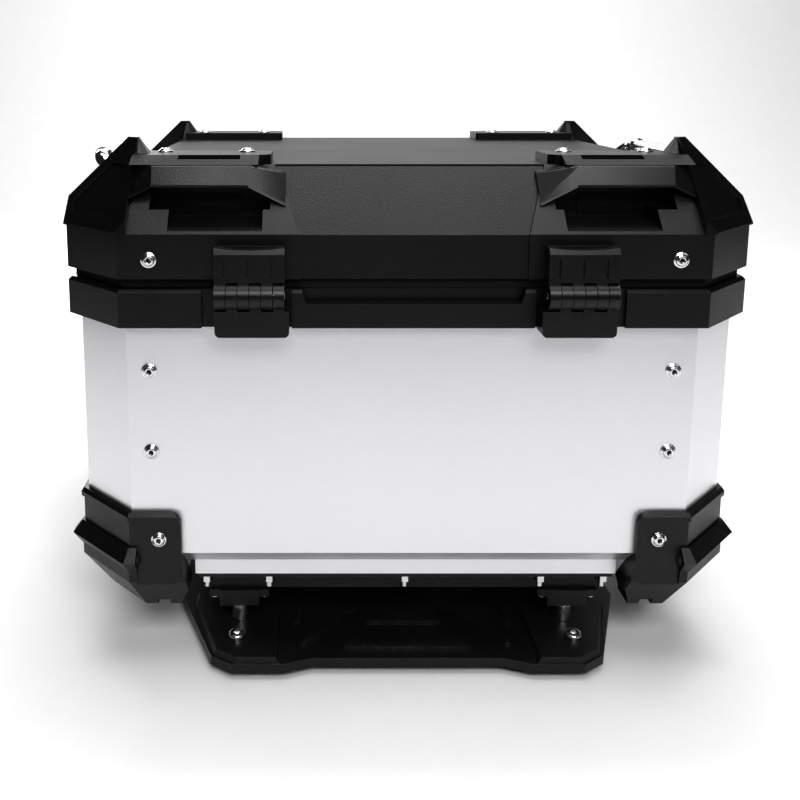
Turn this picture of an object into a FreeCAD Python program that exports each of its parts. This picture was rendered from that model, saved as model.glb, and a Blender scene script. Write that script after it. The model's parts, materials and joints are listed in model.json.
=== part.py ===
"""Aluminium motorcycle top case on its quick-release base plate.

Millimetres, +Z up, +X to the right, hinges on the -Y side and locks on the +Y side.
The origin is on the ground, under the middle of the whole object.
"""
import FreeCAD, Part
import math
import os

V = FreeCAD.Vector
X_AXIS, Y_AXIS, Z_AXIS = V(1, 0, 0), V(0, 1, 0), V(0, 0, 1)

# Case, seen from above: an octagon with 45 degree corners.
CASE_WIDTH = 430.0
CASE_DEPTH = 350.0
CORNER_CUT = 39.0
WALL = 1.5
WALL_INSET = 7.0            # the sheet body stands back from the rim frame

# Heights of the case.
FLOOR_Z = 67.4
BEVEL = 10.0                # bevel all round the bottom of the body
TRAY_Z = 57.1               # underside of the tray pressed in the floor
TRAY_X, TRAY_Y = 135.5, 157.0
RIM_LOW_Z, RIM_TOP_Z = 225.2, 248.7
WALL_TOP_Z = RIM_TOP_Z - 2.5
RIM_WIDTH = 12.0

# Lid.
LID_LOW_Z, CREASE_Z, LID_TOP_Z = 255.1, 281.9, 320.0
LID_SIDE_RUN, LID_FRONT_RUN = 39.0, 35.0    # how far the slopes lean in
LID_TOP_CUT = 16.0
SKIN = 1.5                  # corner mouldings stand this far over the lid shell
LID_WALL = 2.5
TOP_PANEL = 1.2
SEAM_X_LOW, SEAM_X_TOP, SEAM_Y = 67.5, 83.5, 95.0
SEAL_TOP_Z = LID_LOW_Z - 0.3

# Handle in each corner moulding.
FLANGE_TOP_Z = LID_TOP_Z + 6.0
FLANGE_Y = (104.0, 140.5)
BAR_X = (99.0, 157.0)
BAR_Y = (147.5, 156.5)
BAR_Z = (LID_TOP_Z - 12.0, LID_TOP_Z + 1.0)
POCKET_X = (85.5, 158.0)
POCKET_BACK_Y = 142.0
POCKET_LOW_Z, POCKET_FLOOR_Z = 295.0, 289.0
SCOOP_X = (90.0, 146.0)
SLOT_X = (101.0, 146.0)
POCKET_WALL = 2.5
GUARD_PEAK = V(-171.5, -126.7, LID_TOP_Z + 16.0)

# Lid hinge.
HINGE_X = 97.0
HINGE_Y, HINGE_Z = -183.0, LID_LOW_Z - 8.4
HINGE_WIDTH = 41.0
KNUCKLES = 6
KNUCKLE_R = 8.3
LEAF_FRONT_Y = -187.0
HINGE_LEAF_LOW_Z, HINGE_LEAF_TOP_Z = 222.5, 275.5
PIN_R, PIN_FIT = 2.0, 0.05

# Docking gear between the case and the base plate.
DOCK_LOW_Z, DOCK_PLATE = 40.0, 2.2
DOCK_X, DOCK_BACK_Y = 133.5, 100.0
STUD_X, STUD_Y = 108.0, (-138.0, 60.0)
RELEASE_TRAVEL = 16.0
STUD_R, STUD_HEAD_R = 4.0, 8.0

# Base plate and its feet.
PLATE_Z, PLATE_SHEET, PAD_Z = 11.0, 2.5, 15.0
PLATE_FRONT_Y, PLATE_BACK_Y = -183.0, 117.0
PLATE_NARROW_X, PLATE_WIDE_X, PLATE_TAPER = 121.0, 152.0, 78.0
PLATE_CORNER = (10.0, 9.0)   # chamfer at the ends of the plate, along x and y
PLATE_NOTCH = (60.0, 78.0, 6.0)   # half-widths and depth of the step back between two pads
CLAMP_BOLT_X, CLAMP_BOLT_Y = 109.0, (-160.5, 100.0)
RACK_HOLE_X, RACK_HOLE_Y, RACK_HOLE_R = 60.0, (-90.0, 30.0), 3.3
BEAD_R = 3.0
PLATE_SLOPE = (PLATE_WIDE_X - PLATE_NARROW_X) / PLATE_TAPER

# Locks. Both are drawn unlocked.
LOCK_Z, DOCK_LOCK_Z = 232.0, 42.0
LOCK_R, LOCK_FIT = 8.0, 0.05
FRONT_REACH = 191.3         # furthest the hinges and the lock stand out

# Rivets.
RIVET_R, RIVET_SHANK_R = 4.9, 2.0
LID_HOLE = 12.0             # depth drilled for a rivet of the lid

SIDES = {"left": -1, "right": 1}
ENDS = {"front": -1, "rear": 1}
GAP = 0.3                   # clearance between bodies that move apart


# ---------------------------------------------------------------- helpers
def box(x, y, z):
    """Box between the low and high value of each pair, given in any order."""
    low = V(min(x), min(y), min(z))
    return Part.makeBox(abs(x[1] - x[0]), abs(y[1] - y[0]), abs(z[1] - z[0]), low)


def rod(radius, start, direction, length):
    return Part.makeCylinder(radius, length, start, direction)


def wire(points):
    return Part.makePolygon(points + points[:1])


def prism(points, direction):
    return Part.Face(wire(points)).extrude(direction)


def slab_xz(outline, y):
    """Outline given as (x, z) pairs, carried between two values of y."""
    points = [V(px, min(y), pz) for px, pz in outline]
    return prism(points, V(0, abs(y[1] - y[0]), 0))


def slab_yz(outline, x):
    points = [V(min(x), py, pz) for py, pz in outline]
    return prism(points, V(abs(x[1] - x[0]), 0, 0))


def slab_xy(outline, z):
    points = [V(px, py, min(z)) for px, py in outline]
    return prism(points, V(0, 0, abs(z[1] - z[0])))


def taper(low, high):
    """Straight-sided solid between two outlines with the same number of points."""
    return Part.makeLoft([wire(low), wire(high)], True, True)


def octagon(half_x, half_y, cut, z):
    corners = [(half_x, half_y - cut), (half_x - cut, half_y)]
    points = []
    for sx, sy in ((1, 1), (-1, 1), (-1, -1), (1, -1)):
        pair = corners if sx * sy > 0 else corners[::-1]
        points += [V(sx * px, sy * py, z) for px, py in pair]
    return points


def ring_outline(inset, z):
    """The case's octagon, moved in by the same distance on every side."""
    cut = CORNER_CUT - inset * (2 - math.sqrt(2))
    return octagon(CASE_WIDTH / 2 - inset, CASE_DEPTH / 2 - inset, cut, z)


def ring_prism(inset, z):
    return prism(ring_outline(inset, min(z)), V(0, 0, abs(z[1] - z[0])))


def fuse(shapes):
    shapes = list(shapes)
    return shapes[0].multiFuse(shapes[1:]).removeSplitter() if len(shapes) > 1 else shapes[0]


def mirrored(shape, side, end):
    """A front-left shape, brought to the corner that the two signs name."""
    if side > 0:
        shape = shape.mirror(V(0, 0, 0), X_AXIS)
    if end > 0:
        shape = shape.mirror(V(0, 0, 0), Y_AXIS)
    return shape


def all_corners(shape):
    return [mirrored(shape, side, end) for side in (-1, 1) for end in (-1, 1)]


def pill(start, end, radius, z):
    """Round-ended bar between two (x, y) points."""
    a, b = V(start[0], start[1], min(z)), V(end[0], end[1], min(z))
    height = abs(z[1] - z[0])
    along = (b - a).normalize()
    across = V(-along.y, along.x, 0) * radius
    body = prism([a + across, b + across, b - across, a - across], V(0, 0, height))
    return fuse([body, rod(radius, a, Z_AXIS, height), rod(radius, b, Z_AXIS, height)])


def rivet(seat, outward, grip):
    """Blind rivet: flanged head with its mandrel hole, and a shank through the sheets."""
    flange = rod(RIVET_R, seat, outward, 0.9)
    crown = Part.makeCone(RIVET_R * 0.86, RIVET_R * 0.55, 1.5, seat + outward * 0.9, outward)
    shank = rod(RIVET_SHANK_R, seat - outward * grip, outward, grip)
    tail = rod(RIVET_SHANK_R * 1.5, seat - outward * (grip + 1.2), outward, 1.2)
    hole = rod(1.2, seat + outward * 0.6, outward, 3.0)
    return fuse([flange, crown, shank, tail]).cut(hole)


def screw(seat, outward, head_r, head, shank_r, shank):
    """Button-head socket screw."""
    top = rod(head_r, seat, outward, head)
    rounded = top.makeFillet(head * 0.45, [top.Edges[0]])
    socket = hexagon_rod(head_r * 0.42, seat + outward * (head * 0.35), outward, head)
    return fuse([rounded, rod(shank_r, seat - outward * shank, outward, shank)]).cut(socket)


def hexagon_rod(radius, start, direction, length):
    side = X_AXIS if abs(direction.x) < 0.5 else Y_AXIS
    side = side - direction * side.dot(direction)
    side.normalize()
    other = direction.cross(side)
    turns = [math.radians(60 * i) for i in range(6)]
    points = [start + side * (radius * math.cos(t)) + other * (radius * math.sin(t)) for t in turns]
    return prism(points, direction * length)


def export(name, shape):
    solids = shape.Solids
    shape = solids[0] if len(solids) == 1 else Part.makeCompound(solids)
    if not shape.isValid():
        print("not valid:", name)
    shape.exportStep("parts/" + name + ".step")


# ---------------------------------------------------------------- sheet body and rim
def body_envelope(inset):
    """Outside of the sheet body, with its bottom bevel, moved in by the wall's thickness."""
    bend = FLOOR_Z + BEVEL + inset * (math.sqrt(2) - 1)
    low = ring_outline(WALL_INSET + BEVEL + inset * 0.4, FLOOR_Z + inset)
    high = ring_outline(WALL_INSET + inset, bend)
    walls = ring_prism(WALL_INSET + inset, (bend, WALL_TOP_Z + inset))
    return taper(low, high).fuse(walls)


def tray(inset):
    side, end = TRAY_X - inset, TRAY_Y - inset
    return box((-side, side), (-end, end), (TRAY_Z + inset, FLOOR_Z + WALL + 0.5))


def body_shell():
    outside = body_envelope(0).fuse(tray(0))
    inside = body_envelope(WALL).fuse(tray(WALL))
    shell = outside.cut(inside)
    for tool in floor_bolt_holes() + body_rivet_holes() + hinge_screw_holes() + lock_screw_holes():
        shell = shell.cut(tool)
    return shell.removeSplitter()


def body_rim():
    """Moulded frame that caps the sheet body and carries the seal and the hinges."""
    chamfer = 2.0
    low = ring_prism(0, (RIM_LOW_Z, RIM_TOP_Z - chamfer))
    top = taper(ring_outline(0, RIM_TOP_Z - chamfer), ring_outline(chamfer, RIM_TOP_Z))
    frame = low.fuse(top).cut(ring_prism(RIM_WIDTH, (RIM_LOW_Z - 1, RIM_TOP_Z + 1)))
    wall = ring_prism(WALL_INSET, (RIM_LOW_Z - 1, WALL_TOP_Z))
    wall = wall.cut(ring_prism(WALL_INSET + WALL, (RIM_LOW_Z - 1, WALL_TOP_Z)))
    under = ring_prism(WALL_INSET + WALL - 0.1, (RIM_LOW_Z - 1, RIM_LOW_Z + 5))
    frame = frame.cut(wall).cut(under)
    front = -CASE_DEPTH / 2
    frame = frame.cut(finger_notch(front))
    for x in (-HINGE_X, HINGE_X):
        outward = 1 if x > 0 else -1
        ends = (x + outward * 29.5, x - outward * 24.5)
        frame = frame.cut(box(ends, (front - 1, front + 3.0), (RIM_LOW_Z - 1, RIM_TOP_Z + 1)))
    for hole in hinge_screw_holes() + lock_screw_holes():
        frame = frame.cut(hole)
    return frame.removeSplitter()


def finger_notch(front):
    """Long notch in the middle of the rim, with sloping ends."""
    ledge, half, slope = RIM_TOP_Z - 8.7, 67.0, 3.0
    outline = [(-half, RIM_TOP_Z + 1), (-half + slope, ledge), (half - slope, ledge), (half, RIM_TOP_Z + 1)]
    return slab_xz(outline, (front - 1, front + WALL_INSET - 0.8))


def lid_seal():
    outer = ring_prism(4.5, (RIM_TOP_Z, SEAL_TOP_Z))
    return outer.cut(ring_prism(9.5, (RIM_TOP_Z - 1, SEAL_TOP_Z + 1)))


# ---------------------------------------------------------------- fasteners of the body
BODY_RIVET_Z = (144.9, 196.5)
BODY_RIVET_RUN = 48.5       # from the side plane, along the front or the side
STIFFENER = 2.0


def body_rivet_seats():
    """Seat points and directions of the body's rivets, on all four corners."""
    half_x, half_y = CASE_WIDTH / 2 - WALL_INSET, CASE_DEPTH / 2 - WALL_INSET
    seats = []
    for side in (-1, 1):
        for end in (-1, 1):
            for z in BODY_RIVET_Z:
                seats.append((V(side * (half_x - BODY_RIVET_RUN), end * half_y, z), Y_AXIS * end))
                seats.append((V(side * half_x, end * (half_y - BODY_RIVET_RUN), z), X_AXIS * side))
    return seats


def body_rivet_holes():
    return [rod(RIVET_SHANK_R, seat - out * 5, out, 6) for seat, out in body_rivet_seats()]


def body_rivets():
    return Part.makeCompound([rivet(s, out, WALL + STIFFENER) for s, out in body_rivet_seats()])


def corner_stiffener():
    """Angle plate behind the body's front-left corner, held by the rivets."""
    reach = 60.0
    z = (PROTECTOR_RIVET_Z + 7, RIM_LOW_Z - 4)
    outer = ring_prism(WALL_INSET + WALL, z)
    plate = outer.cut(ring_prism(WALL_INSET + WALL + STIFFENER, (z[0] - 1, z[1] + 1)))
    half_x, half_y = CASE_WIDTH / 2 - WALL_INSET, CASE_DEPTH / 2 - WALL_INSET
    corner = box((-half_x - 5, -half_x + reach), (-half_y - 5, -half_y + reach), z)
    plate = plate.common(corner)
    for seat, out in body_rivet_seats():
        plate = plate.cut(rod(RIVET_SHANK_R, seat - out * 5, out, 6))
    return plate


# ---------------------------------------------------------------- lower corner protectors
PROTECTOR_TOP_Z, PROTECTOR_LOW_Z = 105.8, 35.0
PROTECTOR_SKIRT_Z = PROTECTOR_TOP_Z - 22.5  # where the bumper begins
PROTECTOR_INNER_X = -142.0
PROTECTOR_PANEL, PROTECTOR_LIP = 4.0, 5.5   # depth inside the rim's outline, and lip width
PROTECTOR_RIVET_Z, PROTECTOR_RIVET_RUN = 88.2, 52.0


def protector_outline(inner, corner_round, top):
    """Outline of one leg, from the outside of the corner to its inner edge."""
    low = PROTECTOR_LOW_Z - 5
    outline = [(-240.0, top), (inner - corner_round, top)]
    for step in range(1, 6):
        turn = math.radians(18 * step)
        across = inner - corner_round + corner_round * math.sin(turn)
        outline.append((across, top - corner_round + corner_round * math.cos(turn)))
    foot = [(inner, 76.0), (inner + 3.5, 52.0), (inner - 2.0, 39.0), (inner - 4.0, low), (-240.0, low)]
    return outline + foot


def protector_legs(inset):
    """Room of both legs, drawn in from their free edges."""
    inner_x = PROTECTOR_INNER_X - inset
    inner_y = inner_x + (CASE_WIDTH - CASE_DEPTH) / 2
    corner_round, top = 8.0 - inset * 0.5, PROTECTOR_TOP_Z - inset
    front = slab_xz(protector_outline(inner_x, corner_round, top), (-200, 0))
    return front.common(slab_yz(protector_outline(inner_y, corner_round, top), (-240, 0)))


def protector_corner():
    """The part round the 45 degree corner, where the bumper bulges out."""
    reach = 6.0
    corner_x = CASE_WIDTH / 2 - CORNER_CUT - reach
    corner_y = CASE_DEPTH / 2 - CORNER_CUT - reach
    return box((-240, -corner_x), (-200, -corner_y), (PROTECTOR_LOW_Z - 5, PROTECTOR_SKIRT_Z))


def protector_shape():
    top, bulge_z, tuck_z = PROTECTOR_TOP_Z, PROTECTOR_SKIRT_Z - 7.8, 60.0
    skin = taper(ring_outline(4.0, top), ring_outline(2.4, top - 2.5))
    skin = skin.fuse(ring_prism(2.4, (tuck_z, top - 2.5)))
    skin = skin.fuse(taper(ring_outline(2.4, tuck_z), ring_outline(20.0, PROTECTOR_LOW_Z)))
    bumper = taper(ring_outline(2.4, PROTECTOR_SKIRT_Z), ring_outline(-3.6, bulge_z))
    bumper = bumper.fuse(taper(ring_outline(-3.6, bulge_z), ring_outline(24.0, PROTECTOR_LOW_Z)))
    return skin.fuse(bumper.common(protector_corner()))


def protector_panel():
    """What is sunk inside the lip, down to the bumper at the corner and to the foot on the legs."""
    room = box((-240, 0), (-200, 0), (PROTECTOR_LOW_Z, PROTECTOR_TOP_Z))
    room = room.cut(ring_prism(PROTECTOR_PANEL, (PROTECTOR_LOW_Z - 1, PROTECTOR_TOP_Z + 1)))
    return room.common(protector_legs(PROTECTOR_LIP)).cut(protector_corner())


def corner_protector():
    """Front-left protector: two legs and a bumper, with a lip along the free edges."""
    cavity = taper(ring_outline(17.0, FLOOR_Z), ring_outline(39.0, PROTECTOR_LOW_Z - 1))
    shape = protector_shape().cut(protector_panel())
    boss = Part.makeSphere(7.0, V(-174.0, -168.5, 75.0))
    shape = shape.fuse(boss).common(protector_legs(0)).cut(body_envelope(0)).cut(cavity)
    toe = 5.0
    inner_x = PROTECTOR_INNER_X
    inner_y = inner_x + (CASE_WIDTH - CASE_DEPTH) / 2
    shape = shape.cut(box((inner_x - 18, inner_x - 10), (-200, 0), (30, PROTECTOR_LOW_Z + toe)))
    shape = shape.cut(box((-240, 0), (inner_y - 18, inner_y - 10), (30, PROTECTOR_LOW_Z + toe)))
    for seat, out in protector_rivet_seats():
        shape = shape.cut(rod(RIVET_SHANK_R, seat - out * 8, out, 12))
    return shape.removeSplitter()


def protector_rivet_seats():
    half_x, half_y = CASE_WIDTH / 2 - WALL_INSET, CASE_DEPTH / 2 - WALL_INSET
    proud = 3.0
    front = V(-half_x + PROTECTOR_RIVET_RUN, -half_y - proud, PROTECTOR_RIVET_Z)
    side = V(-half_x - proud, -half_y + PROTECTOR_RIVET_RUN, PROTECTOR_RIVET_Z)
    return [(front, V(0, -1, 0)), (side, V(-1, 0, 0))]


def protector_rivets():
    heads = []
    for seat, out in protector_rivet_seats():
        heads += all_corners(rivet(seat, out, 3.0 + WALL))
    return Part.makeCompound(heads)


def protector_rivet_holes():
    holes = []
    for seat, out in protector_rivet_seats():
        holes += all_corners(rod(RIVET_SHANK_R, seat - out * 6, out, 8))
    return holes


# ---------------------------------------------------------------- docking gear under the case
DOCK_BOLT_X = (-128.5, -88.0, 0.0, 88.0, 128.5)
DOCK_BOLT_Y = (-151.5, 92.0)
DOCK_BOLT_R = 2.0


def floor_bolt_holes():
    holes = []
    for x in DOCK_BOLT_X:
        for y in DOCK_BOLT_Y:
            holes.append(rod(DOCK_BOLT_R, V(x, y, TRAY_Z - 4), Z_AXIS, 8))
    return holes + protector_rivet_holes()


def dock_plate():
    """Steel plate bolted under the tray, with a web all round its underside."""
    top = TRAY_Z - DOCK_PLATE
    plate = box((-DOCK_X, DOCK_X), (-TRAY_Y, DOCK_BACK_Y), (top, TRAY_Z))
    web = box((-DOCK_X + 4, DOCK_X - 4), (-144, DOCK_BACK_Y - 16), (DOCK_LOW_Z, top))
    hollow = box((-DOCK_X + 6.5, DOCK_X - 6.5), (-141.5, DOCK_BACK_Y - 18.5), (DOCK_LOW_Z - 1, top))
    plate = plate.fuse(web.cut(hollow))
    for tool in floor_bolt_holes():
        plate = plate.cut(tool)
    return plate.removeSplitter()


def dock_bolt(x, y):
    """Bolt through the tray and the dock plate, with its nut and washer below."""
    under = TRAY_Z - DOCK_PLATE
    head = hexagon_rod(4.0, V(x, y, TRAY_Z + WALL), Z_AXIS, 2.8)
    shank = rod(DOCK_BOLT_R, V(x, y, under - 9.0), Z_AXIS, 9.0 + DOCK_PLATE + WALL)
    washer = rod(4.6, V(x, y, under - 0.8), Z_AXIS, 0.8)
    nut = hexagon_rod(4.1, V(x, y, under - 5.0), Z_AXIS, 4.2)
    return fuse([head, shank, washer, nut])


def dock_bolts():
    return Part.makeCompound([dock_bolt(x, y) for x in DOCK_BOLT_X for y in DOCK_BOLT_Y])


def docking_block(x, y):
    """Block that carries one docking stud."""
    under = TRAY_Z - DOCK_PLATE
    block = box((x - 13, x + 13), (y - 3.2, y + 9), (29.0, under))
    block = block.fuse(box((x - 13, x + 13), (y - 10, y + 9), (29.0, DOCK_LOW_Z - 0.2)))
    ears = box((x - 19.5, x + 19.5), (y - 9, y - 1), (35.0, DOCK_LOW_Z - 0.2))
    block = block.fuse(ears).cut(rod(STUD_R, V(x, y, 28), Z_AXIS, DOCK_LOW_Z - 28.5))
    for offset in (-16.0, 16.0):
        block = block.cut(rod(1.5, V(x + offset, y - 5, 34), Z_AXIS, 8))
    return block.removeSplitter()


def docking_stud(x, y):
    """Headed stud that hangs in a keyhole of the base plate."""
    shoulder = rod(5.6, V(x, y, PAD_Z + GAP), Z_AXIS, 29.0 - PAD_Z - GAP)
    foot_z = PAD_Z - PLATE_SHEET - 1
    shank = rod(STUD_R, V(x, y, foot_z), Z_AXIS, DOCK_LOW_Z - 0.5 - foot_z)
    head_top = PAD_Z - PLATE_SHEET - 0.6
    head = rod(STUD_HEAD_R, V(x, y, head_top - 3.4), Z_AXIS, 3.4)
    return fuse([shoulder, shank, head])


def block_screws(x, y):
    screws = []
    for offset in (-16.0, 16.0):
        screws.append(screw(V(x + offset, y - 5, 35.0), V(0, 0, -1), 2.9, 1.8, 1.5, 4.4))
    return screws


# ---------------------------------------------------------------- base plate
def plate_outline(inset):
    """Half-width grows from both ends of the plate to its middle."""
    narrow, wide = PLATE_NARROW_X - inset, PLATE_WIDE_X - inset
    front, back = PLATE_FRONT_Y + inset, PLATE_BACK_Y - inset
    near, far = PLATE_FRONT_Y + PLATE_TAPER, PLATE_BACK_Y - PLATE_TAPER
    cut_x, cut_y = PLATE_CORNER
    step_x, step_y = narrow + PLATE_SLOPE * cut_y, narrow - cut_x
    inner, outer, depth = PLATE_NOTCH
    right = [(inner, front + depth), (outer, front), (step_y, front), (step_x, front + cut_y)]
    right += [(wide, near), (wide, far)]
    right += [(step_x, back - cut_y), (step_y, back), (outer, back), (inner, back - depth)]
    return right + [(-px, py) for px, py in reversed(right)]


def pad_outline(end, grow):
    """Left corner pad, drawn for the front or the rear end of the plate."""
    edge = PLATE_FRONT_Y if end < 0 else PLATE_BACK_Y
    depth = edge - end * (77.0 + grow)
    outer_far = PLATE_NARROW_X + PLATE_SLOPE * 60.0 - 3.0 + grow
    inner, bound = 80.0 - grow, PLATE_NARROW_X - 0.3 + grow
    face = edge - end * (0.6 - grow * 0.2)
    cut_x, cut_y = PLATE_CORNER
    points = [(-inner, face), (cut_x - bound, face), (-bound - PLATE_SLOPE * cut_y, face - end * cut_y)]
    return points + [(-outer_far, edge - end * 60.0), (-outer_far, depth), (-inner, depth)]


def pad(end, drop):
    """Raised corner pad; drop lowers the surface to make its hollow underside."""
    low = PLATE_Z - PLATE_SHEET - drop
    grow_low, grow_top = 0.0 - drop, -3.0 - drop
    bottom = [V(px, py, low) for px, py in pad_outline(end, grow_low)]
    top = [V(px, py, PAD_Z - drop) for px, py in pad_outline(end, grow_top)]
    return taper(bottom, top)


def bead(start, end):
    foot = pill(start, end, BEAD_R, (PLATE_Z - 0.5, PLATE_Z + 1.2))
    return foot.fuse(pill(start, end, BEAD_R - 1.1, (PLATE_Z, PLATE_Z + 2.4)))


def plate_beads():
    """Stiffening beads of one half of the plate, mirrored to the other end."""
    middle = (PLATE_FRONT_Y + PLATE_BACK_Y) / 2
    beads = []
    for end in (-1, 1):
        def at(px, py):
            return (px, middle + end * (middle - py))
        beads.append(bead(at(-39, -166), at(39, -166)))
        beads.append(bead(at(-23, -138), at(23, -138)))
        for side in (-1, 1):
            beads.append(bead(at(side * 66, -162), at(side * 28, -118)))
            beads.append(bead(at(side * 72, -139), at(side * 70, -116)))
    return beads


def keyhole(x, y):
    slot = pill((x, y), (x, y + RELEASE_TRAVEL), STUD_R + 0.5, (0, PAD_Z + 5))
    mouth = rod(STUD_HEAD_R + 1.2, V(x, y + RELEASE_TRAVEL, 0), Z_AXIS, PAD_Z + 5)
    return slot.fuse(mouth)


def base_plate():
    """Pressed steel plate that bolts to the rack; the case docks on its corner pads."""
    lip = 5.0
    plate = slab_xy(plate_outline(0), (lip, PLATE_Z))
    plate = plate.cut(slab_xy(plate_outline(PLATE_SHEET), (lip - 1, PLATE_Z - PLATE_SHEET)))
    hollows = []
    for end in (-1, 1):
        for side in (-1, 1):
            plate = plate.fuse(mirrored(pad(end, 0), side, -1))
            hollows.append(mirrored(pad(end, PLATE_SHEET), side, -1))
    for hollow in hollows:
        plate = plate.cut(hollow)
    for shape in plate_beads():
        plate = plate.fuse(shape)
    for side in (-1, 1):
        for y in STUD_Y:
            plate = plate.cut(keyhole(side * STUD_X, y))
        for y in CLAMP_BOLT_Y:
            plate = plate.cut(rod(3.3, V(side * CLAMP_BOLT_X, y, 0), Z_AXIS, 30))
        for y in RACK_HOLE_Y:
            plate = plate.cut(rod(RACK_HOLE_R, V(side * RACK_HOLE_X, y, 0), Z_AXIS, 30))
    return plate.removeSplitter()


def rack_clamp(end):
    """Left clamp block under a corner pad; the object stands on it."""
    y = CLAMP_BOLT_Y[0] if end < 0 else CLAMP_BOLT_Y[1]
    x = -CLAMP_BOLT_X
    block = box((x - 5.0, x + 17.5), (y - 11.0, y + 11.0), (0, PAD_Z - PLATE_SHEET))
    upright = [edge for edge in block.Edges if abs(edge.tangentAt(edge.FirstParameter).z) > 0.9]
    block = block.makeFillet(3.0, upright)
    saddle = rod(9.0, V(x, y - 20, -6.0), Y_AXIS, 40)
    bolt_hole = rod(3.0, V(x, y, -1), Z_AXIS, 20)
    return block.cut(saddle).cut(bolt_hole)


def clamp_bolts():
    bolts = []
    for side in (-1, 1):
        for y in CLAMP_BOLT_Y:
            bolts.append(screw(V(side * CLAMP_BOLT_X, y, PAD_Z), Z_AXIS, 5.4, 3.4, 3.0, 11.0))
    return Part.makeCompound(bolts)


def dock_keeper():
    """Upright on the base plate that the dock lock's cam catches."""
    foot = box((-20, 20), (103, 114), (PLATE_Z, PLATE_Z + 3))
    wall = box((-14, 14), (111, 114), (PLATE_Z, 36))
    return foot.fuse(wall).removeSplitter()


# ---------------------------------------------------------------- lid
def lid_outline(inset, z):
    """Lid octagon at a height on the slopes, moved in square to its faces."""
    rise = (z - CREASE_Z) / (LID_TOP_Z - CREASE_Z)
    half_x = CASE_WIDTH / 2 - LID_SIDE_RUN * rise - 1.414 * inset
    half_y = CASE_DEPTH / 2 - LID_FRONT_RUN * rise - 1.2 * inset
    return octagon(half_x, half_y, CORNER_CUT + (LID_TOP_CUT - CORNER_CUT) * rise - 0.7 * inset, z)


def slope_y(z):
    """Where the front slope of the lid is at a height."""
    return LID_FRONT_RUN * (z - CREASE_Z) / (LID_TOP_Z - CREASE_Z) - CASE_DEPTH / 2


def lid_envelope(inset, top):
    crease = CREASE_Z - 0.36 * inset
    band = ring_prism(inset, (LID_LOW_Z - (1 if inset > SKIN else 0), crease))
    return band.fuse(taper(ring_outline(inset, crease), lid_outline(inset, top)))


def pocket_window(slack):
    """Opening in the lid for the front-left handle pocket."""
    x = (-POCKET_X[1] - POCKET_WALL - slack, -POCKET_X[0] + POCKET_WALL + slack)
    y = (-180, -POCKET_BACK_Y + POCKET_WALL + slack)
    return box(x, y, (CREASE_Z - 1.5 - slack, LID_TOP_Z + 8))


def lid_shell():
    shell = lid_envelope(SKIN, LID_TOP_Z - TOP_PANEL)
    shell = shell.cut(lid_envelope(SKIN + LID_WALL, LID_TOP_Z - TOP_PANEL - LID_WALL))
    for window in all_corners(pocket_window(0.4)):
        shell = shell.cut(window)
    for seat, out, _ in lid_rivet_seats():
        for hole in all_corners(rod(RIVET_SHANK_R, seat - out * LID_HOLE, out, LID_HOLE + 1)):
            shell = shell.cut(hole)
    for hole in handle_holes() + hinge_screw_holes():
        shell = shell.cut(hole)
    return shell.removeSplitter()


def lid_top_panel():
    low = LID_TOP_Z - TOP_PANEL
    outline = [V(p.x, p.y, low) for p in lid_outline(SKIN + 0.1, LID_TOP_Z)]
    panel = prism(outline, V(0, 0, TOP_PANEL))
    for window in all_corners(pocket_window(0.4)):
        panel = panel.cut(window)
    for seat, out, _ in lid_rivet_seats():
        for hole in all_corners(rod(RIVET_SHANK_R, seat - out * LID_HOLE, out, LID_HOLE + 1)):
            panel = panel.cut(hole)
    return panel


def lid_rivet_seats():
    """Front-left rivets of a corner moulding: two on the flange, one on each band face."""
    flange_grip = FLANGE_TOP_Z - LID_TOP_Z + TOP_PANEL + LID_WALL
    band_z = CREASE_Z - 15.2
    seats = [(V(-x, -114.2, FLANGE_TOP_Z), Z_AXIS, flange_grip) for x in (102.0, 154.6)]
    seats.append((V(-157.0, -CASE_DEPTH / 2, band_z), V(0, -1, 0), SKIN + LID_WALL))
    seats.append((V(-CASE_WIDTH / 2, -117.0, band_z), V(-1, 0, 0), SKIN + LID_WALL))
    return seats


def lid_rivets(vertical):
    heads = []
    for seat, out, grip in lid_rivet_seats():
        if (out.z > 0.5) == vertical:
            heads += all_corners(rivet(seat, out, grip))
    return Part.makeCompound(heads)


def moulding_skin():
    """Skin over the lid shell, solid where the handle pocket is sunk into it."""
    outer = lid_envelope(0, LID_TOP_Z).common(seam_slab(LID_TOP_Z))
    return outer.cut(lid_envelope(SKIN, LID_TOP_Z).cut(pocket_window(0)))


def seam_slab(top):
    """Everything on the moulding's side of its seams, up to a height at or over the lid's top."""
    low = LID_LOW_Z - 10
    seam = [(-240, low), (-SEAM_X_LOW, low), (-SEAM_X_LOW, CREASE_Z), (-SEAM_X_TOP, LID_TOP_Z)]
    if top > LID_TOP_Z:
        seam.append((-SEAM_X_TOP, top))
    return slab_xz(seam + [(-240, top)], (-190, -SEAM_Y))


def handle_flange():
    """Flange riveted to the top panel, with an apron that slopes down to the bar."""
    back, front = FLANGE_Y
    outline = [(-171, -front), (-90, -front), (-86, 4.5 - front)]
    outline += [(-86, -back - 2), (-88, -back), (-171, -back)]
    apron = [(2 - front, LID_TOP_Z), (2 - BAR_Y[1], BAR_Z[1])]
    apron += [(-front - 1.5, FLANGE_TOP_Z), (2 - front, FLANGE_TOP_Z)]
    return slab_xy(outline, (LID_TOP_Z, FLANGE_TOP_Z)).fuse(slab_yz(apron, (-171, -93)))


def section_x(x, outline):
    return [V(x, py, pz) for py, pz in outline]


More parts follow.
